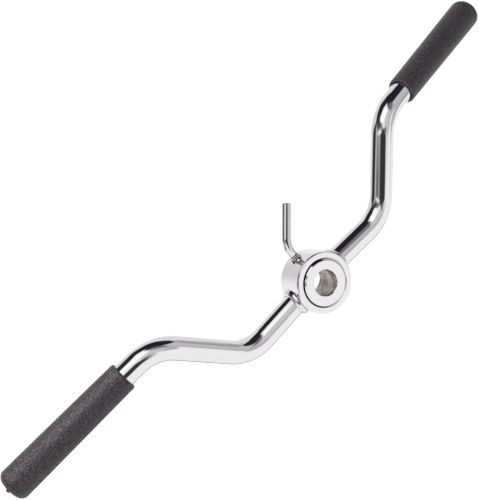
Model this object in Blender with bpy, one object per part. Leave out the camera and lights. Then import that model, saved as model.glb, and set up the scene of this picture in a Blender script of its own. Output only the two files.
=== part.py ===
"""Cambered two-hand bar handle whose hub slips over a bar and is locked by a bent clamp screw.

Units are metres. The origin is the centre of the hub collar, on the axis of its bore, which is +Z.
+X runs towards the right grip, and +Y towards the camber of the arms and the clamp screw.
"""

import math

import bmesh
import bpy
from mathutils import Matrix, Vector

# Clearances
FIT_GAP = 0.0003            # between pieces that touch on the real object

# Hub collar, which slips over a 50 mm bar sleeve once the bush is out
COLLAR_BORE = 0.0510
COLLAR_WALL = 0.0081
COLLAR_SHOULDER = 0.0061    # half of what its height has over the tubes that are welded to it
COLLAR_EDGE_RADIUS = 0.0017
COLLAR_MOUTH_CHAMFER = 0.0015

# Reducing bush, which fits the collar to a one-inch or 28 mm bar
BUSH_BORE = 0.0284
BUSH_PROUD = 0.0017         # how far its front stands out of the collar
BUSH_RECESS = 0.0018        # how far its back sits inside the collar
BUSH_EDGE_CHAMFER = 0.0013
BUSH_MOUTH_CHAMFER = 0.0004

# Arms: one-inch tube with two bends in each
TUBE_DIAMETER = 0.0254
TUBE_WALL = 0.0025
ARM_DROP = 0.0027           # arms' centre line below the middle of the collar
ROOT_RUN = 0.1075           # hub axis to the corner of the first bend
CAMBER_RUN = 0.1120         # from corner to corner
NECK_RUN = 0.0405           # corner of the second bend to the mouth of the grip
ROOT_ANGLE = math.radians(-2.0)
CAMBER_ANGLE = math.radians(50.0)
CAMBER_RISE = math.radians(2.3)
FIRST_BEND_RADIUS = 0.0480
SECOND_BEND_RADIUS = 0.0480
# The outer runs were bent by hand, so the two sides differ by about three degrees
GRIP_ANGLE = {"right": math.radians(-0.3), "left": math.radians(-3.6)}
GRIP_FALL = {"right": math.radians(12.7), "left": math.radians(10.0)}
MIRROR = {"right": 1.0, "left": -1.0}

# Weld beads between tube and collar
WELD_LEG_ON_TUBE = 0.0048
WELD_LEG_ON_COLLAR = 0.0038
WELD_CROWN = 0.0006

# Rubber grips, slightly thicker towards the closed end
GRIP_LENGTH = 0.1565
GRIP_MOUTH_WALL = 0.0031
GRIP_END_WALL = 0.0046
GRIP_END_ROUND = 0.0082
GRIP_END_DEPTH = 0.0050     # rubber between the tube's end and the closed end
GRIP_MOUTH_ROUND = 0.0009
GRIP_BORE_CHAMFER = 0.0006
NIB_DIAMETER = 0.0052
NIB_HEIGHT = 0.0030

# Clamp screw: a threaded stud with a bent rod as its handle
CLAMP_DIRECTION = math.radians(92.0)    # of the screw's axis, about the bore, from +X
STUD_DIAMETER = 0.0100
STUD_POINT_CHAMFER = 0.0012
STUD_OUTSIDE = 0.0074       # thread that shows outside the collar
ROD_DIAMETER = 0.0098
ROD_NECK = 0.0012           # straight rod between the thread and the bend
ROD_BEND_RADIUS = 0.0220
ROD_BEND_ANGLE = math.radians(45.0)
ROD_REACH = 0.0376
ROD_END_CHAMFER = 0.0007
ROD_CLOCKING = math.radians(5.5)        # how far the handle is turned out of the arms' plane
LIP_BASE_WIDTH = 0.0022     # raised lip round the tapped hole
LIP_TOP_WIDTH = 0.0009
LIP_HEIGHT = 0.0012

# Facets
TURNED_SIDES = 64
TUBE_SIDES = 32
TUBE_BORE_SIDES = 20
GRIP_SIDES = 40
ROD_SIDES = 20
STUD_SIDES = 28
WELD_SIDES = 44
WELD_FACE_STEPS = 4
EDGE_STEPS = 3              # along a small rounded edge
CAP_STEPS = 7               # along the grip's rounded end
BEND_STEP = math.radians(4.0)
CUT_MARGIN = 0.0040         # how far a cutter runs past what it cuts
SMOOTH_LIMIT = math.radians(32.0)

TUBE_RADIUS = TUBE_DIAMETER / 2
COLLAR_RADIUS = COLLAR_BORE / 2 + COLLAR_WALL
HALF_HEIGHT = TUBE_RADIUS + COLLAR_SHOULDER
BUSH_RADIUS = COLLAR_BORE / 2 - FIT_GAP
GRIP_BORE_RADIUS = TUBE_RADIUS + FIT_GAP
HOLE_RADIUS = STUD_DIAMETER / 2 + FIT_GAP
STUD_TIP = BUSH_RADIUS + FIT_GAP
STUD_END = COLLAR_RADIUS + STUD_OUTSIDE


def clear_scene():
    for obj in list(bpy.data.objects):
        bpy.data.objects.remove(obj)


def material(name, colour, roughness, metallic):
    made = bpy.data.materials.new(name)
    made.use_nodes = True
    shader = made.node_tree.nodes["Principled BSDF"]
    shader.inputs["Base Color"].default_value = (*colour, 1.0)
    shader.inputs["Roughness"].default_value = roughness
    shader.inputs["Metallic"].default_value = metallic
    return made


def new_object(name, mesh_data, finish=None, parent=None):
    """Adds the bmesh to the scene as an object, shaded smooth between its sharp edges."""
    bmesh.ops.recalc_face_normals(mesh_data, faces=mesh_data.faces)
    mesh = bpy.data.meshes.new(name)
    mesh_data.to_mesh(mesh)
    mesh_data.free()
    mesh.shade_smooth()
    mesh.set_sharp_from_angle(angle=SMOOTH_LIMIT)
    obj = bpy.data.objects.new(name, mesh)
    bpy.context.collection.objects.link(obj)
    if finish:
        mesh.materials.append(finish)
    if parent:
        obj.parent = parent
    return obj


def skin(mesh_data, rings, closed=False):
    """Joins equal rings of points into a tube of quads, and returns the rings' vertices."""
    loops = [[mesh_data.verts.new(point) for point in ring] for ring in rings]
    count = len(loops[0])
    pairs = list(zip(loops, loops[1:]))
    if closed:
        pairs.append((loops[-1], loops[0]))
    for low, high in pairs:
        for i in range(count):
            j = (i + 1) % count
            mesh_data.faces.new((low[i], low[j], high[j], high[i]))
    return loops


def turned(name, profile, sides, finish=None, parent=None):
    """A solid of revolution about Z from (radius, height) points.

    A profile that starts and ends on the axis is capped there with a fan. Any other profile is closed on
    itself, as a ring.
    """
    mesh_data = bmesh.new()
    on_axis = profile[0][0] == 0
    inner = profile[1:-1] if on_axis else profile
    turns = [2 * math.pi * i / sides for i in range(sides)]
    rings = [[(r * math.cos(a), r * math.sin(a), z) for a in turns] for r, z in inner]
    loops = skin(mesh_data, rings, closed=not on_axis)
    if on_axis:
        for (_, z), loop in ((profile[0], loops[0]), (profile[-1], loops[-1])):
            pole = mesh_data.verts.new((0, 0, z))
            for i in range(sides):
                mesh_data.faces.new((pole, loop[i], loop[(i + 1) % sides]))
    return new_object(name, mesh_data, finish, parent)


def arc_points(centre, radius, start, end, steps):
    """Points of a profile's round edge, from the start angle to the end angle."""
    angles = [start + (end - start) * i / steps for i in range(steps + 1)]
    return [(centre[0] + radius * math.cos(a), centre[1] + radius * math.sin(a)) for a in angles]


def swept(name, route, radii, sides, finish=None, parent=None):
    """A round bar along the route, with its own radius at each point and flat ends."""
    tangents = []
    for i in range(len(route)):
        before, after = route[max(i - 1, 0)], route[min(i + 1, len(route) - 1)]
        tangents.append((after - before).normalized())
    across = tangents[0].orthogonal().normalized()
    rings = []
    for i, (point, tangent) in enumerate(zip(route, tangents)):
        if i:
            across = tangents[i - 1].rotation_difference(tangent) @ across
        other = tangent.cross(across)
        turns = [2 * math.pi * k / sides for k in range(sides)]
        rings.append([point + radii[i] * (math.cos(a) * across + math.sin(a) * other) for a in turns])
    mesh_data = bmesh.new()
    loops = skin(mesh_data, rings)
    mesh_data.faces.new(loops[0])
    mesh_data.faces.new(loops[-1])
    return new_object(name, mesh_data, finish, parent)


def bent(corner, arriving, leaving, radius):
    """Points of the arc that rounds a corner of a route, with its two tangent points."""
    turn = arriving.angle(leaving)
    start = corner - arriving * radius * math.tan(turn / 2)
    inward = (leaving - arriving * arriving.dot(leaving)).normalized()
    steps = max(2, math.ceil(turn / BEND_STEP))
    angles = [turn * i / steps for i in range(steps + 1)]
    return [start + radius * (math.sin(a) * arriving + (1 - math.cos(a)) * inward) for a in angles]


def heading(angle, fall, mirror):
    """Unit direction at an angle from the X axis, sinking below the hub's plane by the fall."""
    level = math.cos(fall)
    return Vector((mirror * math.cos(angle) * level, math.sin(angle) * level, -math.sin(fall)))


def arm_course(side):
    """The arm's three directions and the corners between them, ending at the grip's closed end."""
    mirror = MIRROR[side]
    root = heading(ROOT_ANGLE, 0.0, mirror)
    camber = heading(CAMBER_ANGLE, -CAMBER_RISE, mirror)
    grip = heading(GRIP_ANGLE[side], GRIP_FALL[side], mirror)
    start = Vector((0, 0, -ARM_DROP))
    first = start + root * ROOT_RUN
    second = first + camber * CAMBER_RUN
    end = second + grip * (NECK_RUN + GRIP_LENGTH)
    return (root, camber, grip), (start, first, second, end)


def arm_route(side, past_ends=0.0):
    """Points along the tube's centre line, from inside the collar to the bottom of the grip's bore."""
    (root, camber, grip), (start, first, second, end) = arm_course(side)
    inner_end = start + root * (COLLAR_RADIUS - TUBE_RADIUS / 2 - past_ends)
    outer_end = end - grip * (GRIP_END_DEPTH + FIT_GAP - past_ends)
    return [
        inner_end,
        *bent(first, root, camber, FIRST_BEND_RADIUS),
        *bent(second, camber, grip, SECOND_BEND_RADIUS),
        outer_end,
    ]


def cut(target, cutter, operation="DIFFERENCE"):
    cutter.hide_render = True
    cutter.display_type = "WIRE"
    step = target.modifiers.new(cutter.name, "BOOLEAN")
    step.operation = operation
    step.object = cutter
    step.solver = "EXACT"


def build_collar(finish, clamp_axis):
    outer, half = COLLAR_RADIUS, HALF_HEIGHT
    bore, mouth = COLLAR_BORE / 2, COLLAR_MOUTH_CHAMFER
    edge = COLLAR_EDGE_RADIUS
    profile = [
        (bore, -half + mouth),
        (bore + mouth, -half),
        *arc_points((outer - edge, -half + edge), edge, -math.pi / 2, 0, EDGE_STEPS),
        *arc_points((outer - edge, half - edge), edge, 0, math.pi / 2, EDGE_STEPS),
        (bore + mouth, half),
        (bore, half - mouth),
    ]
    collar = turned("hub_collar", profile, TURNED_SIDES, finish)

    wall_middle = (bore + outer) / 2
    lip_profile = [
        (0, wall_middle),
        (HOLE_RADIUS + LIP_BASE_WIDTH, wall_middle),
        (HOLE_RADIUS + LIP_BASE_WIDTH, outer),
        (HOLE_RADIUS + LIP_TOP_WIDTH, outer + LIP_HEIGHT),
        (0, outer + LIP_HEIGHT),
    ]
    cut(collar, turned("lip_guide", lip_profile, STUD_SIDES, parent=clamp_axis), "UNION")
    inside, outside = bore - CUT_MARGIN, outer + LIP_HEIGHT + CUT_MARGIN
    hole_profile = [(0, inside), (HOLE_RADIUS, inside), (HOLE_RADIUS, outside), (0, outside)]
    cut(collar, turned("hole_guide", hole_profile, STUD_SIDES, parent=clamp_axis))
    return collar


def build_bush(finish):
    front = HALF_HEIGHT + BUSH_PROUD
    back = BUSH_RECESS - HALF_HEIGHT
    edge, mouth, bore = BUSH_EDGE_CHAMFER, BUSH_MOUTH_CHAMFER, BUSH_BORE / 2
    profile = [
        (bore, back + mouth),
        (bore + mouth, back),
        (BUSH_RADIUS - edge, back),
        (BUSH_RADIUS, back + edge),
        (BUSH_RADIUS, front - edge),
        (BUSH_RADIUS - edge, front),
        (bore + mouth, front),
        (bore, front - mouth),
    ]
    return turned("reducing_bush", profile, TURNED_SIDES, finish)


def build_arm(side, finish):
    route = arm_route(side)
    arm = swept(f"{side}_arm_tube", route, [TUBE_RADIUS] * len(route), TUBE_SIDES, finish)
    hollow = arm_route(side, past_ends=CUT_MARGIN)
    hollow_radii = [TUBE_RADIUS - TUBE_WALL] * len(hollow)
    cut(arm, swept(f"{side}_hollow_guide", hollow, hollow_radii, TUBE_BORE_SIDES))

    saddle, tall = COLLAR_RADIUS + FIT_GAP, HALF_HEIGHT + CUT_MARGIN
    saddle_profile = [(0, -tall), (saddle, -tall), (saddle, tall), (0, tall)]
    cut(arm, turned(f"{side}_saddle_guide", saddle_profile, TURNED_SIDES))
    return arm


def weld_section(angle, root, sideways):
    """One cross-section of the bead: its corner, its toe on the tube, its face and its toe on the collar."""
    tube = TUBE_RADIUS + FIT_GAP
    collar = COLLAR_RADIUS + FIT_GAP
    up = Vector((0, 0, 1))
    outward = math.cos(angle) * sideways + math.sin(angle) * up
    arm_axis = Vector((0, 0, -ARM_DROP))

    def on_collar(distance):
        reach = math.sqrt(collar ** 2 - (distance * math.cos(angle)) ** 2)
        return arm_axis + root * reach + outward * distance

    # The toe on the collar stays on its straight side, short of the rounded rim
    slope = abs(math.sin(angle))
    flat = HALF_HEIGHT - COLLAR_EDGE_RADIUS
    room = flat - tube * slope + ARM_DROP * math.copysign(1, math.sin(angle))
    leg = WELD_LEG_ON_COLLAR
    if leg * slope > room:
        leg = room / slope
    corner = on_collar(tube)
    tube_toe = corner + root * WELD_LEG_ON_TUBE
    collar_toe = on_collar(tube + leg)
    away = ((tube_toe + collar_toe) / 2 - corner).normalized()
    face = []
    for i in range(1, WELD_FACE_STEPS):
        share = i / WELD_FACE_STEPS
        crown = WELD_CROWN * 4 * share * (1 - share)
        face.append(tube_toe.lerp(collar_toe, share) + away * crown)
    return [corner, tube_toe, *face, collar_toe]


def build_weld(side, finish):
    root = arm_course(side)[0][0]
    sideways = root.cross(Vector((0, 0, 1)))
    angles = [2 * math.pi * i / WELD_SIDES for i in range(WELD_SIDES)]
    mesh_data = bmesh.new()
    skin(mesh_data, [weld_section(a, root, sideways) for a in angles], closed=True)
    return new_object(f"{side}_weld_bead", mesh_data, finish)


def build_grip(side, finish):
    bore = GRIP_BORE_RADIUS
    mouth, end = bore + GRIP_MOUTH_WALL, bore + GRIP_END_WALL
    nib = NIB_DIAMETER / 2
    taper = (end - mouth) / GRIP_LENGTH
    lip, cap = GRIP_MOUTH_ROUND, GRIP_END_ROUND
    profile = [
        (0, GRIP_LENGTH - GRIP_END_DEPTH),
        (bore, GRIP_LENGTH - GRIP_END_DEPTH),
        (bore, GRIP_BORE_CHAMFER),
        (bore + GRIP_BORE_CHAMFER, 0),
        *arc_points((mouth - lip, lip), lip, -math.pi / 2, 0, EDGE_STEPS),
        (mouth + taper * (GRIP_LENGTH - cap) / 2, (GRIP_LENGTH - cap) / 2),
        *arc_points((end - cap, GRIP_LENGTH - cap), cap, math.atan(-taper), math.pi / 2, CAP_STEPS),
        (nib, GRIP_LENGTH),
        *arc_points((0, GRIP_LENGTH + NIB_HEIGHT - nib), nib, 0, math.pi / 2, EDGE_STEPS),
    ]
    profile[-1] = (0, GRIP_LENGTH + NIB_HEIGHT)
    grip = turned(f"{side}_grip", profile, GRIP_SIDES, finish)
    (_, _, along), (_, _, _, closed_end) = arm_course(side)
    turn = along.to_track_quat("Z", "Y").to_matrix().to_4x4()
    grip.matrix_world = Matrix.Translation(closed_end - along * GRIP_LENGTH) @ turn
    return grip


def build_clamp_axis():
    """An empty at the hub's centre line whose +Z is the clamp screw's axis, and +X the handle's side."""
    outward = Vector((math.cos(CLAMP_DIRECTION), math.sin(CLAMP_DIRECTION), 0))
    down = Vector((0, 0, -1))
    sideways = down.cross(outward)
    empty = bpy.data.objects.new("clamp_axis", None)
    bpy.context.collection.objects.link(empty)
    turn = Matrix((sideways, down, outward)).transposed().to_4x4()
    empty.matrix_world = Matrix.Translation((0, 0, -ARM_DROP)) @ turn
    return empty


def build_stud(finish, clamp_axis):
    radius, point = STUD_DIAMETER / 2, STUD_POINT_CHAMFER
    profile = [
        (0, STUD_TIP),
        (radius - point, STUD_TIP),
        (radius, STUD_TIP + point),
        (radius, STUD_END),
        (0, STUD_END),
    ]
    return turned("clamp_stud", profile, STUD_SIDES, finish, clamp_axis)


def build_handle(finish, clamp_axis):
    outward = Vector((0, 0, 1))
    sideways = Vector((math.cos(ROD_CLOCKING), math.sin(ROD_CLOCKING), 0))
    reach = math.cos(ROD_BEND_ANGLE) * outward + math.sin(ROD_BEND_ANGLE) * sideways
    start = outward * (STUD_END + FIT_GAP)
    set_back = ROD_BEND_RADIUS * math.tan(ROD_BEND_ANGLE / 2)
    corner = start + outward * (ROD_NECK + set_back)
    end = corner + reach * (set_back + ROD_REACH)
    route = [start, *bent(corner, outward, reach, ROD_BEND_RADIUS), end - reach * ROD_END_CHAMFER, end]
    radii = [ROD_DIAMETER / 2] * (len(route) - 1) + [ROD_DIAMETER / 2 - ROD_END_CHAMFER]
    return swept("clamp_handle", route, radii, ROD_SIDES, finish, clamp_axis)


def main():
    clear_scene()
    chrome = material("polished chrome", (0.82, 0.83, 0.85), 0.06, 1.0)
    bush_steel = material("chromed bush", (0.74, 0.74, 0.75), 0.14, 1.0)
    weld_metal = material("plated weld", (0.66, 0.66, 0.66), 0.24, 1.0)
    screw_steel = material("plated screw", (0.72, 0.71, 0.70), 0.12, 1.0)
    rubber = material("black rubber", (0.045, 0.042, 0.044), 0.72, 0.0)

    clamp_axis = build_clamp_axis()
    build_collar(chrome, clamp_axis)
    build_bush(bush_steel)
    for side in MIRROR:
        build_arm(side, chrome)
        build_weld(side, weld_metal)
        build_grip(side, rubber)
    build_stud(screw_steel, clamp_axis)
    build_handle(screw_steel, clamp_axis)


main()
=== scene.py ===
"""Looks of the cambered bar handle: chromed tubes and hub, rubber grips and the bent clamp screw.

Everything is in metres, in the part's own frame: the hub's centre is the origin, +Z is the axis of its
bore, +X points to the right grip and +Y to the camber of the arms.
"""

import math

import bmesh
import bpy
import numpy as np
from mathutils import Matrix, Vector, noise


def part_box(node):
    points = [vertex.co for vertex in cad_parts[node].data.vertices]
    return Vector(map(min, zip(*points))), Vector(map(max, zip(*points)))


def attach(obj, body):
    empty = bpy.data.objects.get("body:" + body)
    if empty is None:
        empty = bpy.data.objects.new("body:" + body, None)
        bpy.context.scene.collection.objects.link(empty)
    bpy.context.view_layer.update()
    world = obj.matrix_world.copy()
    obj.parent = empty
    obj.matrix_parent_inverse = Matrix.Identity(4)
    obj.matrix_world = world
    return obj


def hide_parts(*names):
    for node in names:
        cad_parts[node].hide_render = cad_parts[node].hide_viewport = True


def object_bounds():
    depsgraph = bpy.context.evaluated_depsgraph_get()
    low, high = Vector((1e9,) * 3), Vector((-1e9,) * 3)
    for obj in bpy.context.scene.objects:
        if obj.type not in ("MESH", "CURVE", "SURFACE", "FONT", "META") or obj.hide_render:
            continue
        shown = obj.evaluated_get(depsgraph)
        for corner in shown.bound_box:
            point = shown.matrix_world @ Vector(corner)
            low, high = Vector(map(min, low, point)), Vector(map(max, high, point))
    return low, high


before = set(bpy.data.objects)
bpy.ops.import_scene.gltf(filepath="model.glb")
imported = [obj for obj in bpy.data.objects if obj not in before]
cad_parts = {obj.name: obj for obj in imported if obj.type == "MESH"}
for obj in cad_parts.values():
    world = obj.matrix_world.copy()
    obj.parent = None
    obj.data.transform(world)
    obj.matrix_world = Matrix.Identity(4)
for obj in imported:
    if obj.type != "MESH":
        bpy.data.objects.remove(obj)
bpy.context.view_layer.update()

# The hub and its bush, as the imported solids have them
HUB_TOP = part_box("hub_collar")[1].z
HUB_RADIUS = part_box("hub_collar")[1].x
HUB_BORE = 0.0510 / 2       # a radius, as the bush's bore is
HUB_RIM = 0.0017            # rounding of the hub's outer edges
HUB_MOUTH = 0.0015          # chamfer of its bore
BUSH_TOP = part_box("reducing_bush")[1].z
BUSH_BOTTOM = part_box("reducing_bush")[0].z
BUSH_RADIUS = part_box("reducing_bush")[1].x
BUSH_BORE = 0.0284 / 2
BUSH_RIM = 0.0013           # chamfer of the bush's outer edges
BUSH_MOUTH = 0.0004         # chamfer of its bore
CHAMFER_EASE = 0.0003       # rounding of a chamfer's two edges
GAP = 0.0003                # between pieces that touch

# The arms' course, from the hub's axis to the closed ends of the grips
ARM_DROP = 0.0027           # the arms' axes lie this far below the hub's middle
TUBE_RADIUS = 0.0254 / 2
TUBE_WALL = 0.0025
ROOT_RUN = 0.1075
CAMBER_RUN = 0.1120
GRIP_RUN = 0.1970
ROOT_ANGLE = math.radians(-2.0)
CAMBER_ANGLE = math.radians(50.0)
CAMBER_RISE = math.radians(2.3)
FIRST_BEND_RADIUS = 0.0480
SECOND_BEND_RADIUS = 0.0480
GRIP_ANGLE = {"right": math.radians(-0.3), "left": math.radians(-3.6)}
GRIP_FALL = {"right": math.radians(12.7), "left": math.radians(10.0)}
MIRROR = {"right": 1.0, "left": -1.0}
TUBE_START = 0.006          # the tube's first round ring, outside the hub's side
LAST_STRAIGHT = 0.012       # its last plain stretch before the first bend

# Grips
GRIP_LENGTH = 0.1565
GRIP_MOUTH_RADIUS = 0.0161
GRIP_END_RADIUS = 0.0176
GRIP_END_ROUND = 0.0082
GRIP_END_WALL = 0.0050
GRIP_MOUTH_ROUND = 0.0022
GRIP_BORE_CHAMFER = 0.0006
NIB_RADIUS = 0.0028
NIB_HEIGHT = 0.0040
NIB_FOOT = 0.0006           # fillet round the nib's foot

# Weld beads
WELD_LEG_ON_TUBE = 0.0044
WELD_LEG_ON_HUB = 0.0036
WELD_CROWN = 0.0013         # how far the face bulges
WELD_PITCH = 0.0021         # spacing of the ripples
WELD_RIPPLE = 0.00003       # their height
WELD_LAG = 0.9              # how far they trail at the toes, in ripples
WELD_JITTER = 0.15          # how unevenly they follow each other, in ripples
WELD_JITTER_RATE = 300
WELD_JITTER_ACROSS = 3
WELD_JITTER_SEED = 1
WELD_WANDER = 0.04          # how unevenly wide the bead is, as a share of its leg
WELD_WANDER_RATE = 120
WELD_WANDER_SEED = 0.3
WELD_HUB_SHARE = 0.97       # how much of its leg the bead keeps on the hub
WELD_LEAST_SINE = 0.01      # keeps a division off zero level with the arm's axis

# Clamp screw
CLAMP_DIRECTION = math.radians(92.0)
STUD_RADIUS = 0.0050
THREAD_PITCH = 0.0025       # spacing of the ridges that show in the photograph
THREAD_DEPTH = 0.0009
THREAD_ROOT_FLAT = 0.22     # shares of the pitch
THREAD_CREST_FLAT = 0.34
THREAD_RUN_OUT = 0.0016     # length over which the thread fades into the plain rod
STUD_TIP = BUSH_RADIUS + 2 * GAP
STUD_TIP_CHAMFER = 0.0012
STUD_END = HUB_RADIUS + 0.0074
ROD_RADIUS = 0.0049
ROD_NECK = 0.0012
ROD_BEND_RADIUS = 0.0220
ROD_BEND_ANGLE = math.radians(45.0)
ROD_REACH = 0.0376
ROD_END_CHAMFER = 0.0007
# Rings of the rod's rounded end: how far before the end, and how much off the radius, in chamfers
ROD_END_STEPS = ((1.0, 0.0), (0.3, 0.6), (0.0, 1.0))
ROD_CLOCKING = math.radians(5.5)

# The raised lip round the screw's hole in the hub
LIP_BASE_RADIUS = 0.0075
LIP_TOP_RADIUS = 0.0062
LIP_HEIGHT = 0.0012
LIP_SINK = 0.0002           # its flank starts this far under the hub's side
LIP_ROUND = 0.0006          # rounding of its top edge
LIP_ROUND_START = 0.6       # radians, where the flank runs into the rounding
HOLE_CHAMFER = 0.0005
HOLE_SHADE_RING = 0.0008     # how far the hole's painted shade reaches round it

# The photograph's camera, in the part's frame
CAMERA_PLACE = Vector((-0.33835, 0.47225, 0.95382))
CAMERA_RIGHT = Vector((0.67720, -0.58663, 0.44415))
CAMERA_UP = Vector((0.68283, 0.72592, -0.08234))
CAMERA_BACK = Vector((-0.27411, 0.35904, 0.89216))
CAMERA_LENS = 74.454
CAMERA_SENSOR = 36.0
CAMERA_NEAR = 0.05
CAMERA_FAR = 30.0

# How finely the pieces are made
HUB_SIDES = 288
TUBE_SIDES = 128
GRIP_SIDES = 144
ROD_SIDES = 64
GUIDE_SIDES = 96
WELD_SIDES = 420
WELD_STEPS = 18
THREAD_STEPS = 20           # rings in one pitch
CHAMFER_STEPS = 4
HUB_RIM_STEPS = 10
LIP_STEPS = 5
GRIP_MOUTH_STEPS = 6
GRIP_END_STEPS = 18
NIB_FOOT_STEPS = 4
NIB_STEPS = 8
FINE_BEND = math.radians(1.0)
LONGEST_EDGE = 0.0045
GRIP_LONGEST_EDGE = 0.0016
CUT_MARGIN = 0.004          # how far a cutter reaches past what it cuts
FACE_MARGIN = 0.0001        # how far a face's middle may lie off the wall that it is told by
SMOOTH_LIMIT = math.radians(32.0)

# Colours, as shares of red, green and blue
WHITE = (1, 1, 1)
TUBE_PLATE = (0.945, 0.942, 0.95)
HUB_PLATE = (0.95, 0.945, 0.95)
BUSH_PLATE = (0.95, 0.95, 0.965)
WELD_PLATE = (0.92, 0.915, 0.915)
SCREW_PLATE = (0.90, 0.89, 0.885)
BORE_STEEL = (0.72, 0.66, 0.59)
# painted shade, for the screw's hole, a ring round it and the thread's roots
SHADED_STEEL = (0.16, 0.135, 0.12)
# painted shade of the groove between hub and bush
GROOVE_PAINTED_SHADE = (0.10, 0.095, 0.10)
GROOVE_BARE = (0.74, 0.72, 0.71)
RUBBER_DARK = (0.019, 0.013, 0.018)
RUBBER_PALE = (0.032, 0.025, 0.028)
RUBBER_FLECK = (0.088, 0.078, 0.088)
# painted sheen on the tops of the rubber's pebbles
RUBBER_SHEEN = (0.070, 0.064, 0.072)
FLOOR_DARK = (0.33, 0.33, 0.33)
FLOOR_PALE = (0.35, 0.35, 0.35)

# The part of the groove between hub and bush that is painted shade
GROOVE_SHADE_SIDE = math.radians(150)
GROOVE_FADE = (-0.57, 0.26)         # cosines of the angle from that side, from bare steel to painted shade
GROOVE_DEPTH = (0.0045, 0.0030)     # depths below the bush's top, from bare steel to painted shade

# How the finishes vary over a piece
CHROME_CLOUD = 0.95         # times the tint, in its clouds
CHROME_SCRATCH = 1.8        # times the roughness, in its scratches
STEEL_PATCH = 0.34          # times the tint, in its dark patches
STEEL_MARK = 0.22           # added to the roughness, on its turning marks
STEEL_STRETCH = (1.0, 1.0, 14.0)    # squeezes a noise along the bore into turning marks
PAINTED_SHADE_MARK = 0.6            # times the painted shade's tint, in the groove's marks
BARE_MARK = 0.8
RUBBER_CELL = -0.9          # a cell's share of the pebbled height, highest in its middle
RUBBER_SHEEN_SHARE = 0.40          # how much of the painted sheen's colour the pebbles' tops take


def shown(name, mesh_data, finishes, body, nodes):
    """Adds the bmesh as a smooth-shaded piece that rides on a body and stands for CAD nodes."""
    piece = loose(name, mesh_data)
    for finish in finishes:
        piece.data.materials.append(finish)
    shade(piece.data)
    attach(piece, body)
    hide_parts(*nodes)
    return piece


def loose(name, mesh_data):
    """Adds the bmesh as a bare object, and frees it."""
    bmesh.ops.recalc_face_normals(mesh_data, faces=mesh_data.faces)
    mesh = bpy.data.meshes.new(name)
    mesh_data.to_mesh(mesh)
    mesh_data.free()
    made = bpy.data.objects.new(name, mesh)
    bpy.context.collection.objects.link(made)
    return made


def shade(mesh):
    """Smooth shading, but for the sharp edges."""
    mesh.shade_smooth()
    mesh.set_sharp_from_angle(angle=SMOOTH_LIMIT)


def around(sides):
    """Equal angles of a whole turn."""
    return [2 * math.pi * i / sides for i in range(sides)]


def skin(mesh_data, rings, closed=False):
    """Joins equal rings of points with quads, and returns the rings' vertices."""
    loops = [[mesh_data.verts.new(point) for point in ring] for ring in rings]
    count = len(loops[0])
    pairs = list(zip(loops, loops[1:]))
    if closed:
        pairs.append((loops[-1], loops[0]))
    for low, high in pairs:
        for i in range(count):
            j = (i + 1) % count
            mesh_data.faces.new((low[i], low[j], high[j], high[i]))
    return loops


def arc_points(centre, radius, start, end, steps):
    """Points of a profile's round edge, from the start angle to the end angle."""
    angles = [start + (end - start) * i / steps for i in range(steps + 1)]
    return [(centre[0] + radius * math.cos(a), centre[1] + radius * math.sin(a)) for a in angles]


def chamfer(corner, width, side):
    """An outer corner cut flat at 45 degrees, its two edges rounded, read from the face to the wall."""
    r, z = corner
    ease = CHAMFER_EASE
    middle = side * math.pi / 4
    on_face = (r - width - ease * math.tan(math.pi / 8), z - side * ease)
    on_wall = (r - ease, z - side * (width + ease * math.tan(math.pi / 8)))
    inner = arc_points(on_face, ease, 2 * middle, middle, CHAMFER_STEPS)
    outer = arc_points(on_wall, ease, middle, 0, CHAMFER_STEPS)
    return inner + outer


def divided(profile, longest):
    """The profile with extra points on its long stretches."""
    fine = []
    for (r0, z0), (r1, z1) in zip(profile, profile[1:]):
        steps = max(1, math.ceil(math.hypot(r1 - r0, z1 - z0) / longest))
        fine += [(r0 + (r1 - r0) * i / steps, z0 + (z1 - z0) * i / steps) for i in range(steps)]
    return fine + [profile[-1]]


def lathe(profile, sides, place=Matrix.Identity(4)):
    """A turned solid from (radius, height) points: a ring, or a body closed on its axis."""
    mesh_data = bmesh.new()
    on_axis = profile[0][0] == 0
    inner = profile[1:-1] if on_axis else profile
    rings = [[(r * math.cos(a), r * math.sin(a), z) for a in around(sides)] for r, z in inner]
    loops = skin(mesh_data, rings, closed=not on_axis)
    if on_axis:
        for (_, z), loop in ((profile[0], loops[0]), (profile[-1], loops[-1])):
            pole = mesh_data.verts.new((0, 0, z))
            for i in range(sides):
                mesh_data.faces.new((pole, loop[i], loop[(i + 1) % sides]))
    mesh_data.transform(place)
    return mesh_data


def rings_along(route, radii, sides):
    """Rings of points round a route that don't twist along it."""
    tangents = []
    for i in range(len(route)):
        before, after = route[max(i - 1, 0)], route[min(i + 1, len(route) - 1)]
        tangents.append((after - before).normalized())
    across = tangents[0].orthogonal().normalized()
    turns = around(sides)
    rings = []
    for i, (point, tangent) in enumerate(zip(route, tangents)):
        if i:
            across = tangents[i - 1].rotation_difference(tangent) @ across
        other = tangent.cross(across)
        rings.append([point + radii[i] * (math.cos(a) * across + math.sin(a) * other) for a in turns])
    return rings


def bent(corner, arriving, leaving, radius, step):
    """Points of the arc that rounds a corner of a route, with its two tangent points."""
    turn = arriving.angle(leaving)
    start = corner - arriving * radius * math.tan(turn / 2)
    inward = (leaving - arriving * arriving.dot(leaving)).normalized()
    steps = max(2, math.ceil(turn / step))
    angles = [turn * i / steps for i in range(steps + 1)]
    return [start + radius * (math.sin(a) * arriving + (1 - math.cos(a)) * inward) for a in angles]


def heading(angle, fall, mirror):
    """A direction turned from +X towards +Y, falling below the level, and mirrored for the left arm."""
    level = math.cos(fall)
    return Vector((mirror * math.cos(angle) * level, math.sin(angle) * level, -math.sin(fall)))


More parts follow.
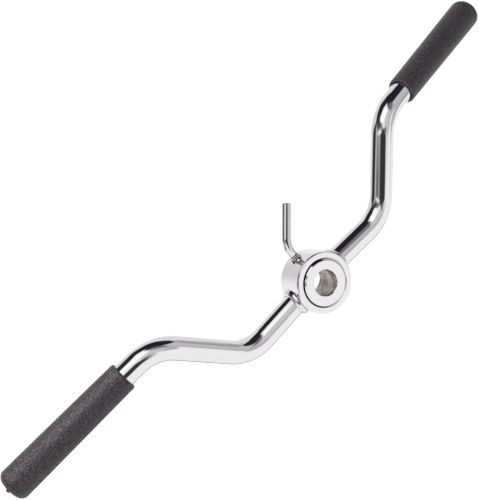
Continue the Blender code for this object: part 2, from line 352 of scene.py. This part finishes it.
def arm_course(side):
    """The arm's three directions and the corners between them, ending at the grip's closed end."""
    mirror = MIRROR[side]
    root = heading(ROOT_ANGLE, 0.0, mirror)
    camber = heading(CAMBER_ANGLE, -CAMBER_RISE, mirror)
    grip = heading(GRIP_ANGLE[side], GRIP_FALL[side], mirror)
    start = Vector((0, 0, -ARM_DROP))
    first = start + root * ROOT_RUN
    second = first + camber * CAMBER_RUN
    end = second + grip * GRIP_RUN
    return (root, camber, grip), (start, first, second, end)


# Materials

class Nodes:
    """Short ways to add shader nodes to one tree. Those named after a node return its result."""

    def __init__(self, tree):
        self.tree = tree
        tree.nodes.clear()

    def add(self, kind, **settings):
        """Adds a node of any kind, and returns the node itself."""
        node = self.tree.nodes.new(kind)
        for name, value in settings.items():
            setattr(node, name, value)
        return node

    def link(self, source, target):
        self.tree.links.new(source, target)

    def feed(self, socket, value):
        """Links a socket, or sets a plain value."""
        if isinstance(value, bpy.types.NodeSocket):
            self.link(value, socket)
        else:
            socket.default_value = value

    def math(self, operation, first, second=0.0, third=0.0):
        node = self.add("ShaderNodeMath", operation=operation)
        for socket, value in zip(node.inputs, (first, second, third)):
            self.feed(socket, value)
        return node.outputs[0]

    def dot(self, vector, axis):
        node = self.add("ShaderNodeVectorMath", operation="DOT_PRODUCT")
        self.feed(node.inputs[0], vector)
        self.feed(node.inputs[1], axis)
        return node.outputs["Value"]

    def smooth(self, value, low, high, start=0.0, end=1.0):
        """Eases from start to end while the value goes from low to high."""
        node = self.add("ShaderNodeMapRange", interpolation_type="SMOOTHSTEP")
        names = ("Value", "From Min", "From Max", "To Min", "To Max")
        for name, setting in zip(names, (value, low, high, start, end)):
            self.feed(node.inputs[name], setting)
        return node.outputs[0]

    def noise(self, vector, scale, detail=2.0, roughness=0.5, distortion=0.0):
        node = self.add("ShaderNodeTexNoise")
        self.feed(node.inputs["Vector"], vector)
        node.inputs["Scale"].default_value = scale
        node.inputs["Detail"].default_value = detail
        node.inputs["Roughness"].default_value = roughness
        node.inputs["Distortion"].default_value = distortion
        return node.outputs[0]

    def grain(self, vector, scale, smoothness):
        """The distance from the middle of a rounded cell."""
        node = self.add("ShaderNodeTexVoronoi", feature="SMOOTH_F1")
        self.feed(node.inputs["Vector"], vector)
        node.inputs["Scale"].default_value = scale
        node.inputs["Smoothness"].default_value = smoothness
        return node.outputs["Distance"]

    def stretch(self, vector, scale):
        node = self.add("ShaderNodeMapping")
        self.feed(node.inputs["Vector"], vector)
        node.inputs["Scale"].default_value = scale
        return node.outputs[0]

    def mix(self, share, first, second):
        """The first colour, or the second where the share is 1."""
        node = self.add("ShaderNodeMix", data_type="RGBA")
        self.feed(node.inputs["Factor"], share)
        self.feed(node.inputs[6], first)
        self.feed(node.inputs[7], second)
        return node.outputs[2]

    def bump(self, height, strength, distance):
        node = self.add("ShaderNodeBump")
        node.inputs["Strength"].default_value = strength
        node.inputs["Distance"].default_value = distance
        self.feed(node.inputs["Height"], height)
        return node.outputs[0]

    def background(self, colour):
        node = self.add("ShaderNodeBackground")
        self.feed(node.inputs["Color"], colour)
        return node.outputs[0]


def opaque(tint, factor=1.0):
    """The tint times a factor, as a shader's colour."""
    return (*(factor * c for c in tint), 1)


def new_material(name, metallic=0.0):
    """An empty material: itself, its nodes, its shader, and the place on the piece that patterns follow."""
    made = bpy.data.materials.new(name)
    made.use_nodes = True
    nodes = Nodes(made.node_tree)
    shader = nodes.add("ShaderNodeBsdfPrincipled")
    shader.inputs["Metallic"].default_value = metallic
    output = nodes.add("ShaderNodeOutputMaterial")
    nodes.link(shader.outputs[0], output.inputs[0])
    place = nodes.add("ShaderNodeTexCoord").outputs["Object"]
    return made, nodes, shader, place


def feed_shader(nodes, shader, colour, roughness, normal):
    """Feeds the three values that every finish has."""
    nodes.feed(shader.inputs["Base Color"], colour)
    nodes.feed(shader.inputs["Roughness"], roughness)
    nodes.feed(shader.inputs["Normal"], normal)


def chrome(name, tint, roughness):
    """Polished plate: nearly a mirror, with faint clouding, fine scratches and a trace of orange peel."""
    made, nodes, shader, place = new_material(name, metallic=1.0)
    cloud = nodes.noise(place, scale=38.0, detail=4.0, roughness=0.55)
    scratches = nodes.noise(place, scale=900.0, detail=3.0, roughness=0.7, distortion=0.4)
    peel = nodes.noise(place, scale=55.0, detail=2.0, roughness=0.4)
    feed_shader(
        nodes, shader,
        colour=nodes.mix(cloud, opaque(tint, CHROME_CLOUD), opaque(tint)),
        roughness=nodes.smooth(scratches, 0.35, 0.75, start=roughness, end=roughness * CHROME_SCRATCH),
        normal=nodes.bump(peel, strength=0.10, distance=0.0008),
    )
    return made


def turned_steel(name, tint, roughness):
    """Bare machined steel with turning marks and patchy colour."""
    made, nodes, shader, place = new_material(name, metallic=1.0)
    marks = nodes.noise(nodes.stretch(place, STEEL_STRETCH), scale=60.0, detail=5.0, roughness=0.7)
    patches = nodes.noise(place, scale=120.0, detail=4.0, roughness=0.6, distortion=0.6)
    feed_shader(
        nodes, shader,
        colour=nodes.mix(nodes.smooth(patches, 0.3, 0.7), opaque(tint, STEEL_PATCH), opaque(tint)),
        roughness=nodes.smooth(marks, 0.3, 0.7, start=roughness, end=roughness + STEEL_MARK),
        normal=nodes.bump(marks, strength=0.35, distance=0.0004),
    )
    return made


def groove_steel(name):
    """The bush's outer wall: bare steel, with painted shade darkening its top edge towards one side of the
    hub, where the groove lies in shadow.
    """
    made, nodes, shader, place = new_material(name, metallic=1.0)
    side = (math.cos(GROOVE_SHADE_SIDE) / BUSH_RADIUS, math.sin(GROOVE_SHADE_SIDE) / BUSH_RADIUS, 0)
    turned = nodes.smooth(nodes.dot(place, side), *GROOVE_FADE)
    top = nodes.smooth(nodes.dot(place, (0, 0, 1)), *(BUSH_TOP - depth for depth in GROOVE_DEPTH))
    marks = nodes.noise(place, scale=150.0, detail=4.0, roughness=0.6)
    # Painted shade: the groove's dark, near the bush's top and towards one side of the hub
    painted_shade = nodes.mix(marks, opaque(GROOVE_PAINTED_SHADE, PAINTED_SHADE_MARK), opaque(GROOVE_PAINTED_SHADE))
    bare = nodes.mix(marks, opaque(GROOVE_BARE, BARE_MARK), opaque(GROOVE_BARE))
    feed_shader(
        nodes, shader,
        colour=nodes.mix(nodes.math("MULTIPLY", turned, top), bare, painted_shade),
        roughness=nodes.smooth(marks, 0.3, 0.7, start=0.20, end=0.34),
        normal=nodes.bump(marks, strength=0.20, distance=0.0003),
    )
    return made


def rubber(name, factor):
    """Matte charcoal rubber with a fine pebbled skin, paler on the tops of the grain as painted sheen. A
    factor below 1 gives a darker copy, as painted shade.
    """
    made, nodes, shader, place = new_material(name)
    coarse = nodes.noise(place, scale=640.0, detail=3.0, roughness=0.65)
    mottle = nodes.noise(place, scale=520.0, detail=2.0, roughness=0.7)
    patches = nodes.noise(place, scale=40.0, detail=3.0, roughness=0.5)
    cells = nodes.grain(place, scale=900.0, smoothness=0.5)
    pebble = nodes.math("MULTIPLY_ADD", cells, RUBBER_CELL, coarse)
    base = nodes.mix(patches, opaque(RUBBER_DARK, factor), opaque(RUBBER_PALE, factor))
    flecks = nodes.smooth(mottle, 0.45, 0.62, start=0.0, end=0.8)
    flecked = nodes.mix(flecks, base, opaque(RUBBER_FLECK, factor))
    # Painted sheen: the pebbles' tops paler
    tops = nodes.math("MULTIPLY", nodes.smooth(pebble, 0.05, 0.55), RUBBER_SHEEN_SHARE)
    feed_shader(
        nodes, shader,
        colour=nodes.mix(tops, flecked, opaque(RUBBER_SHEEN, factor)),
        roughness=nodes.smooth(coarse, 0.3, 0.7, start=0.32, end=0.46),
        normal=nodes.bump(pebble, strength=0.6, distance=0.0007),
    )
    shader.inputs["Specular IOR Level"].default_value = 0.45
    return made


# Pieces

def clamp_frame():
    """Turns the screw's own frame, whose +Z is its axis and +X the handle's side, into the part's."""
    outward = Vector((math.cos(CLAMP_DIRECTION), math.sin(CLAMP_DIRECTION), 0))
    down = Vector((0, 0, -1))
    turn = Matrix((down.cross(outward), down, outward)).transposed().to_4x4()
    return Matrix.Translation((0, 0, -ARM_DROP)) @ turn


def cut(target, cutter, operation):
    """Applies one Boolean and removes its cutter."""
    step = target.modifiers.new("cut", "BOOLEAN")
    step.operation = operation
    step.object = cutter
    step.solver = "EXACT"
    bpy.context.view_layer.update()
    evaluated = target.evaluated_get(bpy.context.evaluated_depsgraph_get())
    done = bpy.data.meshes.new_from_object(evaluated)
    target.modifiers.clear()
    old = target.data
    target.data = done
    done.name = old.name
    bpy.data.meshes.remove(old)
    bpy.data.objects.remove(cutter)


def build_hub(plate, steel, dark):
    """The turned collar, with the raised lip and the tapped hole of the clamp screw."""
    outer, half, edge = HUB_RADIUS, HUB_TOP, HUB_RIM
    profile = [
        (HUB_BORE, -half + HUB_MOUTH),
        (HUB_BORE + HUB_MOUTH, -half),
        *arc_points((outer - edge, -half + edge), edge, -math.pi / 2, 0, HUB_RIM_STEPS),
        *arc_points((outer - edge, half - edge), edge, 0, math.pi / 2, HUB_RIM_STEPS),
        (HUB_BORE + HUB_MOUTH, half),
        (HUB_BORE, half - HUB_MOUTH),
        (HUB_BORE, -half + HUB_MOUTH),
    ]
    fine = divided(profile, LONGEST_EDGE)[:-1]
    hub = shown("hub_shell", lathe(fine, HUB_SIDES), [plate, steel, dark], "handle_frame",
                ["hub_collar"])

    middle = (HUB_BORE + outer) / 2
    top = outer + LIP_HEIGHT
    lip = [
        (0, middle),
        (LIP_BASE_RADIUS, middle),
        (LIP_BASE_RADIUS, outer - LIP_SINK),
        *arc_points((LIP_TOP_RADIUS - LIP_ROUND, top - LIP_ROUND), LIP_ROUND, LIP_ROUND_START, math.pi / 2,
                    LIP_STEPS),
        (0, top),
    ]
    hole = STUD_RADIUS + GAP
    bore = [
        (0, HUB_BORE - CUT_MARGIN),
        (hole, HUB_BORE - CUT_MARGIN),
        (hole, top - HOLE_CHAMFER),
        (hole + HOLE_CHAMFER, top),
        (hole + HOLE_CHAMFER, top + CUT_MARGIN),
        (0, top + CUT_MARGIN),
    ]
    place = clamp_frame()
    cut(hub, loose("lip_guide", lathe(lip, GUIDE_SIDES, place)), "UNION")
    cut(hub, loose("hole_guide", lathe(bore, GUIDE_SIDES, place)), "DIFFERENCE")

    # The bore takes bare steel; the screw's hole and a thin ring round it take painted shade
    back = place.inverted()
    for face in hub.data.polygons:
        x, y, _ = face.center
        from_screw = (back @ face.center).xy.length
        if math.hypot(x, y) < HUB_BORE + FACE_MARGIN:
            face.material_index = 1
        elif from_screw < hole + HOLE_SHADE_RING and y > 0:
            face.material_index = 2
        else:
            face.material_index = 0
    shade(hub.data)


def build_bush(plate, steel, groove):
    """The turned ring inside the collar."""
    profile = [
        (BUSH_BORE, BUSH_BOTTOM + BUSH_MOUTH),
        (BUSH_BORE + BUSH_MOUTH, BUSH_BOTTOM),
        *chamfer((BUSH_RADIUS, BUSH_BOTTOM), BUSH_RIM, -1),
        *reversed(chamfer((BUSH_RADIUS, BUSH_TOP), BUSH_RIM, 1)),
        (BUSH_BORE + BUSH_MOUTH, BUSH_TOP),
        (BUSH_BORE, BUSH_TOP - BUSH_MOUTH),
        (BUSH_BORE, BUSH_BOTTOM + BUSH_MOUTH),
    ]
    fine = divided(profile, LONGEST_EDGE)[:-1]
    bush = shown("bush_ring", lathe(fine, HUB_SIDES), [plate, steel, groove], "reducing_bush",
                 ["reducing_bush"])
    for face in bush.data.polygons:
        out = face.center.xy.length
        if out < BUSH_BORE + FACE_MARGIN:
            face.material_index = 1
        # The outer wall takes the groove's steel and its painted shade
        elif out > BUSH_RADIUS - FACE_MARGIN:
            face.material_index = 2


def on_hub(angle, distance, root, sideways):
    """Where a line beside the arm's axis meets the hub's side, at a distance and angle about the arm."""
    out = HUB_RADIUS + GAP
    reach = math.sqrt(out ** 2 - (distance * math.cos(angle)) ** 2)
    outward = math.cos(angle) * sideways + math.sin(angle) * Vector((0, 0, 1))
    return Vector((0, 0, -ARM_DROP)) + root * reach + outward * distance


def build_arm(side, plate):
    """A bent tube, open at both ends, whose root follows the hub's round side."""
    (root, camber, grip), (start, first, second, end) = arm_course(side)
    sideways = root.cross(Vector((0, 0, 1)))
    bends = [
        *bent(first, root, camber, FIRST_BEND_RADIUS, FINE_BEND),
        *bent(second, camber, grip, SECOND_BEND_RADIUS, FINE_BEND),
    ]
    route = [
        start + root * (HUB_RADIUS + TUBE_START),
        bends[0] - root * LAST_STRAIGHT,
        *bends,
        end - grip * (GRIP_END_WALL + GAP),
    ]
    mesh_data = bmesh.new()
    skins = []
    for radius in (TUBE_RADIUS, TUBE_RADIUS - TUBE_WALL):
        rings = rings_along(route, [radius] * len(route), TUBE_SIDES)
        saddle = []
        for point in rings[0]:
            spoke = point - route[0]
            angle = math.atan2(spoke.z, spoke.dot(sideways))
            saddle.append(on_hub(angle, radius, root, sideways))
        skins.append(skin(mesh_data, [saddle, *rings]))
    outer, inner = skins
    for k in (0, -1):
        for i in range(TUBE_SIDES):
            j = (i + 1) % TUBE_SIDES
            mesh_data.faces.new((outer[k][i], outer[k][j], inner[k][j], inner[k][i]))
    shown(f"{side}_arm", mesh_data, [plate], "handle_frame", [f"{side}_arm_tube"])


def weld_section(angle, root, sideways, travel):
    """One cross-section of a bead, its face lifted into ripples that lag towards the toes."""
    tube = TUBE_RADIUS + GAP
    flat = HUB_TOP - HUB_RIM
    room = flat - tube * abs(math.sin(angle)) + ARM_DROP * math.copysign(1, math.sin(angle))
    leg = min(WELD_LEG_ON_HUB, room / max(abs(math.sin(angle)), WELD_LEAST_SINE))
    wander = WELD_WANDER * noise.noise(Vector((travel * WELD_WANDER_RATE, WELD_WANDER_SEED, 0.0)))
    corner = on_hub(angle, tube, root, sideways)
    tube_toe = corner + root * WELD_LEG_ON_TUBE * (1 + wander)
    hub_toe = on_hub(angle, tube + leg * (WELD_HUB_SHARE + wander / 2), root, sideways)
    away = ((tube_toe + hub_toe) / 2 - corner).normalized()
    face = []
    for i in range(1, WELD_STEPS):
        share = i / WELD_STEPS
        arch = 4 * share * (1 - share)
        grain = Vector((travel * WELD_JITTER_RATE, share * WELD_JITTER_ACROSS, WELD_JITTER_SEED))
        cycle = travel / WELD_PITCH + WELD_LAG * (1 - arch) + WELD_JITTER * noise.noise(grain)
        ripple = math.cos(2 * math.pi * cycle) * WELD_RIPPLE * arch
        face.append(tube_toe.lerp(hub_toe, share) + away * (WELD_CROWN * arch + ripple))
    return [corner, tube_toe, *face, hub_toe]


def build_weld(side, plate):
    """The bead where an arm's root meets the hub, with a whole number of ripples round it."""
    root = arm_course(side)[0][0]
    sideways = root.cross(Vector((0, 0, 1)))
    length = 2 * math.pi * (TUBE_RADIUS + WELD_LEG_ON_HUB / 2)
    length = WELD_PITCH * round(length / WELD_PITCH)
    mesh_data = bmesh.new()
    rings = [weld_section(a, root, sideways, length * a / (2 * math.pi)) for a in around(WELD_SIDES)]
    skin(mesh_data, rings, closed=True)
    shown(f"{side}_weld", mesh_data, [plate], "handle_frame", [f"{side}_weld_bead"])


def build_grip(side, skin_rubber, nib_rubber_in_shade):
    """A rubber sleeve, open at its mouth, with a closed round end and a small nib on it."""
    mouth, end = GRIP_MOUTH_RADIUS, GRIP_END_RADIUS
    bore = TUBE_RADIUS + GAP
    taper = (end - mouth) / GRIP_LENGTH
    lip, cap, foot = GRIP_MOUTH_ROUND, GRIP_END_ROUND, NIB_FOOT
    nib_centre = GRIP_LENGTH + NIB_HEIGHT - NIB_RADIUS
    profile = [
        (0, GRIP_LENGTH - GRIP_END_WALL),
        (bore, GRIP_LENGTH - GRIP_END_WALL),
        (bore, GRIP_BORE_CHAMFER),
        (bore + GRIP_BORE_CHAMFER, 0),
        *arc_points((mouth - lip, lip), lip, -math.pi / 2, 0, GRIP_MOUTH_STEPS),
        *arc_points((end - cap, GRIP_LENGTH - cap), cap, math.atan(-taper), math.pi / 2, GRIP_END_STEPS),
        (NIB_RADIUS + 2 * foot, GRIP_LENGTH),
        *arc_points((NIB_RADIUS + foot, GRIP_LENGTH + foot), foot, -math.pi / 2, -math.pi, NIB_FOOT_STEPS),
        *arc_points((0, nib_centre), NIB_RADIUS, 0, math.pi / 2, NIB_STEPS)[:-1],
        (0, GRIP_LENGTH + NIB_HEIGHT),
    ]
    (_, _, along), (_, _, _, closed_end) = arm_course(side)
    turn = along.to_track_quat("Z", "Y").to_matrix().to_4x4()
    place = Matrix.Translation(closed_end - along * GRIP_LENGTH) @ turn
    mesh_data = lathe(divided(profile, GRIP_LONGEST_EDGE), GRIP_SIDES, place)
    # The nib takes the darker copy of the rubber, as painted shade
    for face in mesh_data.faces:
        offset = face.calc_center_median() - closed_end
        if offset.dot(along) > -FACE_MARGIN and offset.length < 2 * NIB_RADIUS:
            face.material_index = 1
    return shown(f"{side}_grip_sleeve", mesh_data, [skin_rubber, nib_rubber_in_shade], "handle_frame",
                 [f"{side}_grip"])


def thread_radius(cycle):
    """Radius across one pitch of the thread: a flat root, a straight flank, a flat crest and a flank."""
    flank = (1 - THREAD_ROOT_FLAT - THREAD_CREST_FLAT) / 2
    if cycle < THREAD_ROOT_FLAT:
        depth = 1.0
    elif cycle < THREAD_ROOT_FLAT + flank:
        depth = 1 - (cycle - THREAD_ROOT_FLAT) / flank
    elif cycle < THREAD_ROOT_FLAT + flank + THREAD_CREST_FLAT:
        depth = 0.0
    else:
        depth = (cycle - THREAD_ROOT_FLAT - flank - THREAD_CREST_FLAT) / flank
    return STUD_RADIUS - THREAD_DEPTH * depth


def thread_rings():
    """Rings of the screw's threaded end, from its chamfered tip to the plain rod."""
    step = THREAD_PITCH / THREAD_STEPS
    rings = []
    for z in np.arange(STUD_TIP, STUD_END + step / 2, step):
        past_tip = min(1.0, (z - STUD_TIP) / STUD_TIP_CHAMFER)
        fade = min(1.0, (STUD_END - z) / THREAD_RUN_OUT)
        limit = STUD_RADIUS - STUD_TIP_CHAMFER * (1 - past_tip)
        ring = []
        for a in around(ROD_SIDES):
            threaded = thread_radius((z / THREAD_PITCH - a / (2 * math.pi)) % 1.0)
            radius = min(limit, ROD_RADIUS + (threaded - ROD_RADIUS) * fade)
            ring.append(Vector((radius * math.cos(a), radius * math.sin(a), z)))
        rings.append(ring)
    return rings


def rod_rings():
    """Rings of the plain rod, through its bend to its chamfered end, and the side that they start from."""
    outward = Vector((0, 0, 1))
    sideways = Vector((math.cos(ROD_CLOCKING), math.sin(ROD_CLOCKING), 0))
    reach = math.cos(ROD_BEND_ANGLE) * outward + math.sin(ROD_BEND_ANGLE) * sideways
    set_back = ROD_BEND_RADIUS * math.tan(ROD_BEND_ANGLE / 2)
    bend_start = outward * (STUD_END + GAP + ROD_NECK)
    corner = bend_start + outward * set_back
    end = corner + reach * (set_back + ROD_REACH)
    bend = bent(corner, outward, reach, ROD_BEND_RADIUS, FINE_BEND)
    rod = bend + [end - reach * ROD_END_CHAMFER * before for before, _ in ROD_END_STEPS]
    radii = [ROD_RADIUS] * len(bend) + [ROD_RADIUS - ROD_END_CHAMFER * off for _, off in ROD_END_STEPS]
    rings = rings_along(rod, radii, ROD_SIDES)
    return rings, rings[0][0] - rod[0]


def build_clamp_screw(plate, dark):
    """The threaded end and the bent rod in one piece, as the real screw is."""
    plain, lead = rod_rings()
    start = round(math.atan2(lead.y, lead.x) / (2 * math.pi) * ROD_SIDES)
    threaded = [[ring[(start + k) % ROD_SIDES] for k in range(ROD_SIDES)] for ring in thread_rings()]
    mesh_data = bmesh.new()
    loops = skin(mesh_data, threaded + plain)
    mesh_data.faces.new(loops[0])
    mesh_data.faces.new(loops[-1])
    # The thread's roots take painted shade, the shade in its grooves
    for face in mesh_data.faces:
        centre = face.calc_center_median()
        if centre.z < STUD_END and centre.xy.length < STUD_RADIUS - 0.5 * THREAD_DEPTH:
            face.material_index = 1
    mesh_data.transform(clamp_frame())
    shown("clamp_screw", mesh_data, [plate, dark], "clamp_handle",
          ["clamp_stud", "clamp_handle"])


# Studio

FLOOR_GAP = 0.0005
FLOOR_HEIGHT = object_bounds()[0].z - FLOOR_GAP
FLOOR_HALF_WIDTH = 6.0
FLOOR_GLOW = 0.96
FLOOR_ROUGHNESS = 0.9

# What the chrome reflects, by direction: angle off the camera's axis, turn, half-widths along and across
# that turn, lean, softness of the edge, and brightness. Later cards lie over earlier ones.
WALL_BRIGHTNESS = 0.90
STUDIO_CARDS = {
    "shaded wall": (120, 100, 28, 78, 0, 0.25, 0.76),
    "warm corner": (124, 160, 16, 16, 0, 0.8, 0.64),
    "skirting line": (146, -70, 8, 40, 0, 0.4, 0.20),
    "dull middle": (28, 34, 20, 22, 0, 0.5, 0.58),
    "grey screen": (84, 31, 48, 32, 0, 0.10, 0.53),
    "fold in the grey screen": (88, 50, 8, 15, 0, 0.6, 0.34),
    "crease in the grey screen": (62, 20, 20, 4, -4, 0.7, 0.42),
    "pale gap in the grey screen": (60, 6, 6, 10, 0, 0.3, 0.90),
    "low edge of the grey screen": (90, 6, 5, 9, 0, 0.6, 0.30),
    "grey ledge": (46, 2, 8, 9, 0, 0.5, 0.42),
    "dim side of the room": (58, 176, 50, 27, 0, 0.20, 0.20),
    "upper black strip": (86, 180, 9, 26, 0, 0.6, 0.03),
    "outer black strip": (97, 180, 16, 13, 0, 0.5, 0.03),
    "upper pale strip": (68, 185, 5, 20, 0, 0.5, 0.55),
    "lower black strip": (46, 188, 5, 14, 0, 0.5, 0.12),
    "lower pale strip": (33, 190, 6, 12, 0, 0.5, 0.32),
    "grey step": (88, -146, 32, 9, 0, 0.5, 0.24),
    "foot of the curtain": (67, 79, 24, 24, 20, 0.15, 0.018),
    "black curtain": (81, 112, 20, 32, 0, 0.15, 0.015),
    "shoulder of the curtain": (88, 132, 17, 15, 0, 0.15, 0.020),
    "end of the curtain": (77, 140, 24, 20, 0, 0.20, 0.022),
    "dark gap by the window": (56, 152, 20, 14, 0, 0.30, 0.05),
    "dark space round the camera": (12, -70, 31, 14, 56, 0.28, 0.035),
    "narrow window": (37, 181, 18, 5, 0, 0.8, 0.85),
    "dark core": (19, -3, 10, 5, 0, 0.5, 0.14),
    "window": (37, 119, 23.5, 15, 61, 0.20, 1.06),
    "grey edge of the curtain": (44, 64, 7, 22, 0, 0.4, 0.17),
}
STUDIO_TINT = (1.0, 0.985, 0.992)
STUDIO_HAZE = (0.001, 0.0, 0.005)       # added to every brightness, so that the blacks are a little blue
LIGHT_MAP_WIDTH = 512


def studio_direction(off_axis, turn):
    """A direction at an angle off the camera's axis, turned anticlockwise from the image's right."""
    a, b = math.radians(off_axis), math.radians(turn)
    across = math.cos(b) * CAMERA_RIGHT + math.sin(b) * CAMERA_UP
    return (math.cos(a) * CAMERA_BACK + math.sin(a) * across).normalized()


def studio_card(nodes, where, off_axis, turn, along, across, lean, softness):
    """1 inside an ellipse of directions and 0 outside it, with a soft edge."""
    centre = studio_direction(off_axis, turn)
    radial = studio_direction(off_axis + 90, turn)
    lean = math.radians(lean)
    first = math.cos(lean) * radial + math.sin(lean) * centre.cross(radial)
    second = centre.cross(first)
    depth = nodes.dot(where, centre)
    squares = []
    for axis, half_width in ((first, along), (second, across)):
        angle = nodes.math("ARCTAN2", nodes.dot(where, axis), depth)
        share = nodes.math("DIVIDE", angle, math.radians(half_width))
        squares.append(nodes.math("MULTIPLY", share, share))
    reach = nodes.math("SQRT", nodes.math("ADD", *squares))
    inside = nodes.smooth(reach, 1.0 - softness, 1.0 + softness)
    return nodes.math("SUBTRACT", 1.0, inside)


def build_world():
    """Pale walls, cards and dark places for the chrome to reflect. The camera sees plain white there."""
    world = bpy.data.worlds.new("studio")
    bpy.context.scene.world = world
    world.use_nodes = True
    nodes = Nodes(world.node_tree)
    where = nodes.add("ShaderNodeTexCoord").outputs["Generated"]
    light = WALL_BRIGHTNESS
    for *place, brightness in STUDIO_CARDS.values():
        mask = studio_card(nodes, where, *place)
        light = nodes.math("MULTIPLY_ADD", nodes.math("SUBTRACT", brightness, light), mask, light)
    colour = nodes.add("ShaderNodeCombineColor")
    for socket, tint, haze in zip(colour.inputs, STUDIO_TINT, STUDIO_HAZE):
        nodes.link(nodes.math("MULTIPLY_ADD", light, tint, haze), socket)

    choose = nodes.add("ShaderNodeMixShader")
    nodes.link(nodes.add("ShaderNodeLightPath").outputs["Is Camera Ray"], choose.inputs[0])
    nodes.link(nodes.background(colour.outputs[0]), choose.inputs[1])
    nodes.link(nodes.background(opaque(WHITE)), choose.inputs[2])
    output = nodes.add("ShaderNodeOutputWorld")
    nodes.link(choose.outputs[0], output.inputs[0])
    world.cycles.sampling_method = "MANUAL"
    world.cycles.sample_map_resolution = LIGHT_MAP_WIDTH


def build_floor():
    """A plain pale floor just below the part, that the chrome doesn't reflect."""
    mesh_data = bmesh.new()
    bmesh.ops.create_grid(mesh_data, x_segments=2, y_segments=2, size=FLOOR_HALF_WIDTH)
    mesh = bpy.data.meshes.new("studio_floor")
    mesh_data.to_mesh(mesh)
    mesh_data.free()
    floor = bpy.data.objects.new("studio_floor", mesh)
    floor.location.z = FLOOR_HEIGHT
    bpy.context.collection.objects.link(floor)
    made, nodes, shader, place = new_material("pale floor")
    grain = nodes.noise(place, scale=30.0, detail=3.0)
    nodes.feed(shader.inputs["Base Color"], nodes.mix(grain, opaque(FLOOR_DARK), opaque(FLOOR_PALE)))
    shader.inputs["Roughness"].default_value = FLOOR_ROUGHNESS
    shader.inputs["Emission Color"].default_value = opaque(WHITE)
    shader.inputs["Emission Strength"].default_value = FLOOR_GLOW
    mesh.materials.append(made)
    floor.visible_glossy = False


def add_light(name, target, off_axis, turn, distance, size, power, lit):
    """A soft square light, a distance from its target, that shines on the lit pieces alone."""
    lamp = bpy.data.lights.new(name, "AREA")
    lamp.size = size
    lamp.energy = power
    holder = bpy.data.objects.new(name, lamp)
    direction = studio_direction(off_axis, turn)
    holder.location = target + direction * distance
    holder.rotation_mode = "QUATERNION"
    holder.rotation_quaternion = direction.to_track_quat("Z", "Y")
    bpy.context.collection.objects.link(holder)
    receivers = bpy.data.collections.new(f"lit by {name}")
    for piece in lit:
        receivers.objects.link(piece)
    holder.light_linking.receiver_collection = receivers


def build_camera():
    """The camera that the photograph was taken with, as it was fitted to the part."""
    lens = bpy.data.cameras.new("photo_camera")
    lens.lens = CAMERA_LENS
    lens.sensor_width = CAMERA_SENSOR
    lens.clip_start = CAMERA_NEAR
    lens.clip_end = CAMERA_FAR
    camera = bpy.data.objects.new("photo_camera", lens)
    turn = Matrix((CAMERA_RIGHT, CAMERA_UP, CAMERA_BACK)).transposed().to_4x4()
    camera.matrix_world = Matrix.Translation(CAMERA_PLACE) @ turn
    bpy.context.collection.objects.link(camera)
    bpy.context.scene.camera = camera


def main():
    """Builds the pieces and the studio."""
    tube_chrome = chrome("tube chrome", TUBE_PLATE, roughness=0.03)
    hub_chrome = chrome("hub chrome", HUB_PLATE, roughness=0.045)
    bush_chrome = chrome("bush chrome", BUSH_PLATE, roughness=0.06)
    weld_chrome = chrome("weld chrome", WELD_PLATE, roughness=0.06)
    screw_chrome = chrome("screw chrome", SCREW_PLATE, roughness=0.05)
    bore_steel = turned_steel("bore steel", BORE_STEEL, roughness=0.30)
    # painted shade, for the screw's hole and the thread's roots
    shaded_steel = turned_steel("steel in painted shade", SHADED_STEEL, roughness=0.35)
    # bare steel, with painted shade in the groove
    groove = groove_steel("groove steel")
    grip_rubber = rubber("grip rubber", factor=1.0)
    # a darker copy of the grip's rubber, as painted shade on the nib
    nib_rubber_in_shade = rubber("nib rubber in painted shade", factor=0.35)

    build_hub(hub_chrome, bore_steel, shaded_steel)
    build_bush(bush_chrome, bore_steel, groove)
    grips = []
    for side in MIRROR:
        build_arm(side, tube_chrome)
        build_weld(side, weld_chrome)
        grips.append(build_grip(side, grip_rubber, nib_rubber_in_shade))
    build_clamp_screw(screw_chrome, shaded_steel)

    build_world()
    build_floor()
    (_, _, along), (_, _, _, closed_end) = arm_course("left")
    add_light("grip_light", closed_end - along * GRIP_LENGTH / 2, off_axis=54, turn=135, distance=0.75,
              size=0.16, power=4.2, lit=grips)
    build_camera()
    bpy.context.scene.view_settings.view_transform = "Standard"


main()
